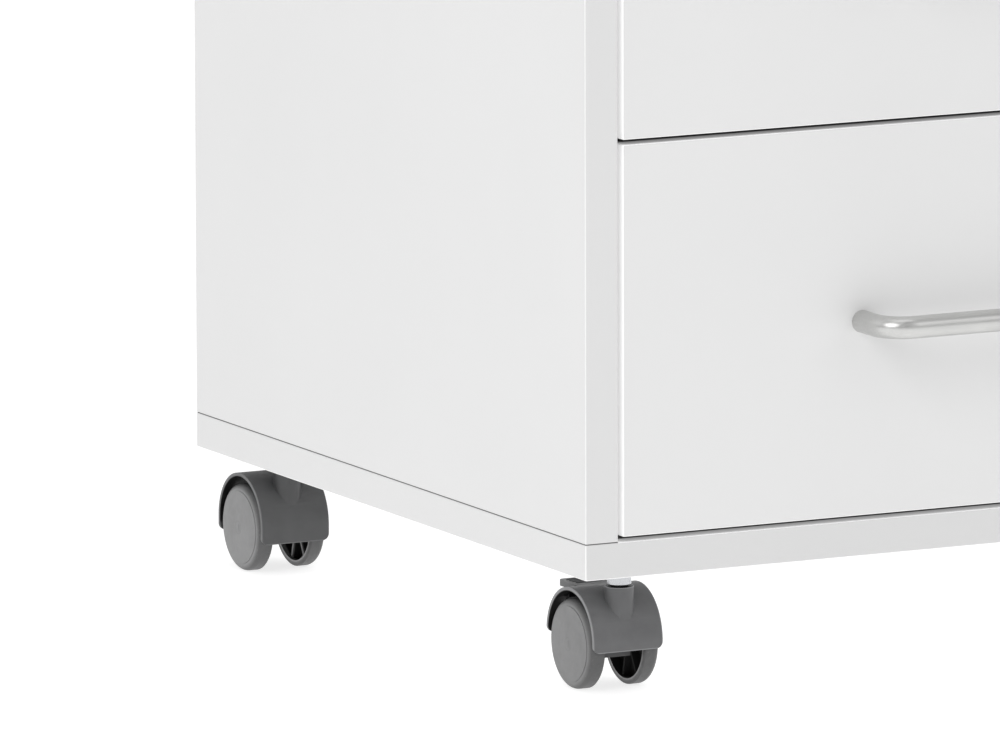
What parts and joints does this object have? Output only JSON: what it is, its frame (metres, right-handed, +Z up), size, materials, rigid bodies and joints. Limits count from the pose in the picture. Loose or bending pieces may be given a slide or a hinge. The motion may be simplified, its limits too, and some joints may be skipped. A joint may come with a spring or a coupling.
{
  "type": "rolling pedestal cabinet",
  "caption": "White board pedestal with inset drawers on ball-bearing slides, bow handles, and grey twin-wheel casters with brakes at the front.",
  "frame": {"origin": "centre of the bounding box in plan, on the floor under the casters", "axes": "+X to the cabinet's right seen from behind the front, +Y from the drawer fronts to the back, +Z up"},
  "size_m": [0.4, 0.4242, 0.6136],
  "materials": {
    "white_board": "white melamine-faced board with matching edging, fine pearl texture",
    "white_hardboard": "thin hardboard, white lacquered",
    "beech_dowel": "plain beech",
    "zinc_steel": "bright zinc plated",
    "rail_steel": "rolled zinc-plated sheet",
    "cage_steel": "thin sheet with polished balls",
    "handle_steel": "satin brushed",
    "grey_plastic": "dark grey moulded nylon",
    "wheel_plastic": "grey moulded nylon"
  },
  "bodies": {
    "cabinet": {"bottom_panel": "white_board", "top_panel": "white_board", "left_side_panel": "white_board", "right_side_panel": "white_board", "back_panel": "white_hardboard", "wooden_dowels": "beech_dowel", "cam_bolts": "zinc_steel", "cam_locks": "zinc_steel", "cabinet_rails": "rail_steel", "cabinet_rail_screws": "zinc_steel", "caster_stems": "zinc_steel", "caster_stem_nuts": "zinc_steel"},
    "lower_drawer": {"lower_drawer_front": "white_board", "lower_drawer_left_side": "white_board", "lower_drawer_right_side": "white_board", "lower_drawer_back": "white_board", "lower_drawer_bottom": "white_hardboard", "lower_drawer_handle": "handle_steel", "lower_drawer_rails": "rail_steel", "lower_drawer_fasteners": "zinc_steel"},
    "lower_drawer_ball_cages": {"lower_drawer_ball_cages": "cage_steel"},
    "middle_drawer": {"middle_drawer_front": "white_board", "middle_drawer_left_side": "white_board", "middle_drawer_right_side": "white_board", "middle_drawer_back": "white_board", "middle_drawer_bottom": "white_hardboard", "middle_drawer_handle": "handle_steel", "middle_drawer_rails": "rail_steel", "middle_drawer_fasteners": "zinc_steel"},
    "middle_drawer_ball_cages": {"middle_drawer_ball_cages": "cage_steel"},
    "upper_drawer": {"upper_drawer_front": "white_board", "upper_drawer_left_side": "white_board", "upper_drawer_right_side": "white_board", "upper_drawer_back": "white_board", "upper_drawer_bottom": "white_hardboard", "upper_drawer_handle": "handle_steel", "upper_drawer_rails": "rail_steel", "upper_drawer_fasteners": "zinc_steel"},
    "upper_drawer_ball_cages": {"upper_drawer_ball_cages": "cage_steel"},
    "front_left_caster": {"front_left_caster_hood": "grey_plastic", "front_left_axle": "zinc_steel"},
    "front_left_left_wheel": {"front_left_left_wheel": "wheel_plastic"},
    "front_left_right_wheel": {"front_left_right_wheel": "wheel_plastic"},
    "front_left_brake": {"front_left_brake_lever": "grey_plastic"},
    "front_right_caster": {"front_right_caster_hood": "grey_plastic", "front_right_axle": "zinc_steel"},
    "front_right_left_wheel": {"front_right_left_wheel": "wheel_plastic"},
    "front_right_right_wheel": {"front_right_right_wheel": "wheel_plastic"},
    "front_right_brake": {"front_right_brake_lever": "grey_plastic"},
    "rear_left_caster": {"rear_left_caster_hood": "grey_plastic", "rear_left_axle": "zinc_steel"},
    "rear_left_left_wheel": {"rear_left_left_wheel": "wheel_plastic"},
    "rear_left_right_wheel": {"rear_left_right_wheel": "wheel_plastic"},
    "rear_right_caster": {"rear_right_caster_hood": "grey_plastic", "rear_right_axle": "zinc_steel"},
    "rear_right_left_wheel": {"rear_right_left_wheel": "wheel_plastic"},
    "rear_right_right_wheel": {"rear_right_right_wheel": "wheel_plastic"}
  },
  "joints": [
    {"name": "lower_drawer_slide", "type": "slide", "parent": "cabinet", "child": "lower_drawer", "axis": [0, -1, 0], "range_m": [0, 0.25]},
    {"name": "lower_drawer_cage_slide", "type": "slide", "parent": "cabinet", "child": "lower_drawer_ball_cages", "axis": [0, -1, 0], "range_m": [0, 0.125]},
    {"name": "middle_drawer_slide", "type": "slide", "parent": "cabinet", "child": "middle_drawer", "axis": [0, -1, 0], "range_m": [0, 0.25]},
    {"name": "middle_drawer_cage_slide", "type": "slide", "parent": "cabinet", "child": "middle_drawer_ball_cages", "axis": [0, -1, 0], "range_m": [0, 0.125]},
    {"name": "upper_drawer_slide", "type": "slide", "parent": "cabinet", "child": "upper_drawer", "axis": [0, -1, 0], "range_m": [0, 0.25]},
    {"name": "upper_drawer_cage_slide", "type": "slide", "parent": "cabinet", "child": "upper_drawer_ball_cages", "axis": [0, -1, 0], "range_m": [0, 0.125]},
    {"name": "front_left_swivel", "type": "hinge", "parent": "cabinet", "child": "front_left_caster", "pos_m": [-0.169, -0.15365, 0.05], "axis": [0, 0, 1], "continuous": true},
    {"name": "front_left_left_wheel_spin", "type": "hinge", "parent": "front_left_caster", "child": "front_left_left_wheel", "pos_m": [-0.169, -0.13965, 0.02], "axis": [1, 0, 0], "continuous": true},
    {"name": "front_left_right_wheel_spin", "type": "hinge", "parent": "front_left_caster", "child": "front_left_right_wheel", "pos_m": [-0.169, -0.13965, 0.02], "axis": [1, 0, 0], "continuous": true},
    {"name": "front_left_brake_tip", "type": "hinge", "parent": "front_left_caster", "child": "front_left_brake", "pos_m": [-0.169, -0.13315, 0.036], "axis": [-1, 0, 0], "range_deg": [0, 10]},
    {"name": "front_right_swivel", "type": "hinge", "parent": "cabinet", "child": "front_right_caster", "pos_m": [0.169, -0.15365, 0.05], "axis": [0, 0, 1], "continuous": true},
    {"name": "front_right_left_wheel_spin", "type": "hinge", "parent": "front_right_caster", "child": "front_right_left_wheel", "pos_m": [0.169, -0.13965, 0.02], "axis": [1, 0, 0], "continuous": true},
    {"name": "front_right_right_wheel_spin", "type": "hinge", "parent": "front_right_caster", "child": "front_right_right_wheel", "pos_m": [0.169, -0.13965, 0.02], "axis": [1, 0, 0], "continuous": true},
    {"name": "front_right_brake_tip", "type": "hinge", "parent": "front_right_caster", "child": "front_right_brake", "pos_m": [0.169, -0.13315, 0.036], "axis": [-1, 0, 0], "range_deg": [0, 10]},
    {"name": "rear_left_swivel", "type": "hinge", "parent": "cabinet", "child": "rear_left_caster", "pos_m": [-0.17, 0.17535, 0.05], "axis": [0, 0, 1], "continuous": true},
    {"name": "rear_left_left_wheel_spin", "type": "hinge", "parent": "rear_left_caster", "child": "rear_left_left_wheel", "pos_m": [-0.17, 0.18935, 0.02], "axis": [1, 0, 0], "continuous": true},
    {"name": "rear_left_right_wheel_spin", "type": "hinge", "parent": "rear_left_caster", "child": "rear_left_right_wheel", "pos_m": [-0.17, 0.18935, 0.02], "axis": [1, 0, 0], "continuous": true},
    {"name": "rear_right_swivel", "type": "hinge", "parent": "cabinet", "child": "rear_right_caster", "pos_m": [0.17, 0.17535, 0.05], "axis": [0, 0, 1], "continuous": true},
    {"name": "rear_right_left_wheel_spin", "type": "hinge", "parent": "rear_right_caster", "child": "rear_right_left_wheel", "pos_m": [0.17, 0.18935, 0.02], "axis": [1, 0, 0], "continuous": true},
    {"name": "rear_right_right_wheel_spin", "type": "hinge", "parent": "rear_right_caster", "child": "rear_right_right_wheel", "pos_m": [0.17, 0.18935, 0.02], "axis": [1, 0, 0], "continuous": true}
  ],
  "couplings": [
    {"joint": "lower_drawer_cage_slide", "follows": "lower_drawer_slide", "ratio": 0.5},
    {"joint": "middle_drawer_cage_slide", "follows": "middle_drawer_slide", "ratio": 0.5},
    {"joint": "upper_drawer_cage_slide", "follows": "upper_drawer_slide", "ratio": 0.5}
  ]
}
